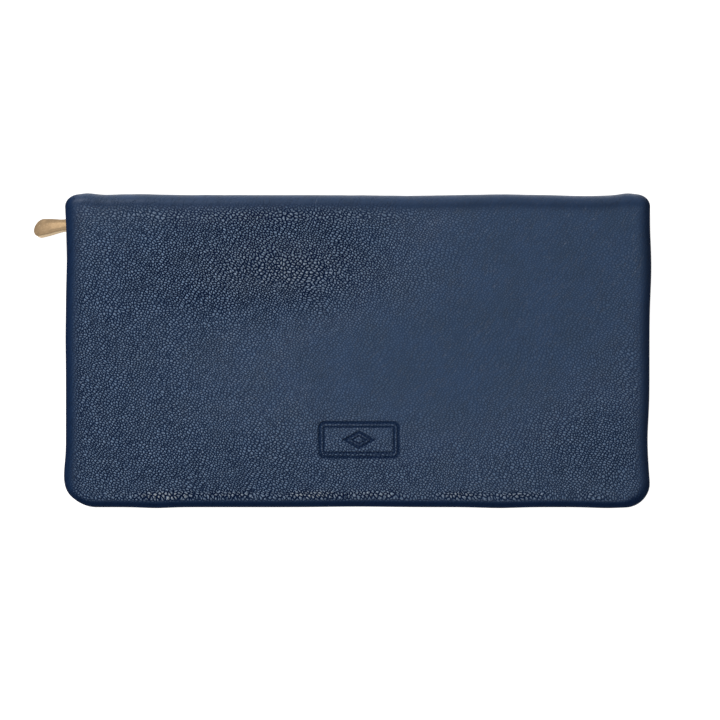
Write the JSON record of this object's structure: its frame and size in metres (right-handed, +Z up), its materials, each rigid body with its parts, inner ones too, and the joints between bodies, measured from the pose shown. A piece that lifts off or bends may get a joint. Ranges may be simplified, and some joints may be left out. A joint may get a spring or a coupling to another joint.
{
  "type": "long zip-around wallet",
  "caption": "Long zip-around wallet in pebbled leather, with card slots, a zipped coin page and a teardrop zip pull.",
  "frame": {"origin": "on the outer face of the back cover, which the wallet rests on, below the middle of the covers", "axes": "+X along the wallet's length, +Y to the spine, +Z up through its thickness to the front cover"},
  "size_m": [0.2082, 0.1044, 0.022],
  "materials": {
    "outer_leather": "pebbled, matt",
    "inner_leather": "smooth, matt",
    "lining_cloth": "fine twill",
    "foam": "open cell",
    "board": "fibre board",
    "zip_tape": "woven herringbone",
    "zip_metal": "satin champagne gold",
    "slider_gold": "satin champagne gold"
  },
  "bodies": {
    "back_cover": {"back_leather": "outer_leather", "back_foam": "foam", "back_board": "board", "back_lining": "lining_cloth", "back_slip_pocket": "inner_leather", "back_slot_1": "inner_leather", "back_slot_2": "inner_leather", "back_slot_3": "inner_leather", "back_slot_4": "inner_leather", "lower_zip_tape": "zip_tape", "lower_zip_teeth": "zip_metal", "lower_top_stop": "zip_metal", "zip_bottom_stop": "zip_metal", "lower_end_tabs": "outer_leather"},
    "spine": {"spine_leather": "outer_leather", "spine_stiffener": "board", "spine_lining_cloth": "lining_cloth"},
    "front_cover": {"front_leather": "outer_leather", "front_foam": "foam", "front_board": "board", "front_lining": "lining_cloth", "front_slip_pocket": "inner_leather", "front_slot_1": "inner_leather", "front_slot_2": "inner_leather", "front_slot_3": "inner_leather", "front_slot_4": "inner_leather", "upper_zip_tape": "zip_tape", "upper_zip_teeth": "zip_metal", "upper_top_stop": "zip_metal", "upper_end_tabs": "outer_leather"},
    "coin_page": {"page_hinge_strip": "lining_cloth", "coin_back_panel": "inner_leather", "coin_front_panel": "inner_leather", "coin_gusset": "lining_cloth", "coin_back_tape": "zip_tape", "coin_front_tape": "zip_tape", "coin_back_teeth": "zip_metal", "coin_front_teeth": "zip_metal", "coin_stops": "zip_metal"},
    "zip_slider": {"zip_slider": "slider_gold", "zip_bridge": "slider_gold"},
    "pull_link": {"pull_link": "slider_gold"},
    "pull": {"pull": "slider_gold"},
    "coin_slider": {"coin_slider": "slider_gold", "coin_bridge": "slider_gold"},
    "coin_pull": {"coin_pull": "slider_gold"}
  },
  "joints": [
    {"name": "spine_fold", "type": "hinge", "parent": "back_cover", "child": "spine", "pos_m": [0, 0.0512, 0.001], "axis": [-1, 0, 0], "range_deg": [0, 90]},
    {"name": "cover_fold", "type": "hinge", "parent": "spine", "child": "front_cover", "pos_m": [0, 0.0512, 0.021], "axis": [-1, 0, 0], "range_deg": [0, 90]},
    {"name": "page_turn", "type": "hinge", "parent": "spine", "child": "coin_page", "pos_m": [0, 0.0494, 0.011], "axis": [1, 0, 0], "range_deg": [0, 30]},
    {"name": "slider_run", "type": "slide", "parent": "back_cover", "child": "zip_slider", "axis": [0, -1, 0], "range_m": [0, 0.066]},
    {"name": "link_swing", "type": "hinge", "parent": "zip_slider", "child": "pull_link", "pos_m": [-0.09535, 0.0361, 0.011], "axis": [0, 0, 1], "range_deg": [0, 75]},
    {"name": "pull_lift", "type": "hinge", "parent": "pull_link", "child": "pull", "pos_m": [-0.09535, 0.0425, 0.011], "axis": [-0.0698, 0.9976, 0], "range_deg": [0, 66]},
    {"name": "coin_slider_run", "type": "slide", "parent": "coin_page", "child": "coin_slider", "axis": [1, 0, 0], "range_m": [0, 0.144]},
    {"name": "coin_pull_swing", "type": "hinge", "parent": "coin_slider", "child": "coin_pull", "pos_m": [-0.072, -0.0292, 0.011], "axis": [0, 0, -1], "range_deg": [0, 180]}
  ],
  "couplings": [
    {"joint": "page_turn", "follows": "spine_fold", "ratio": 0.3333}
  ]
}
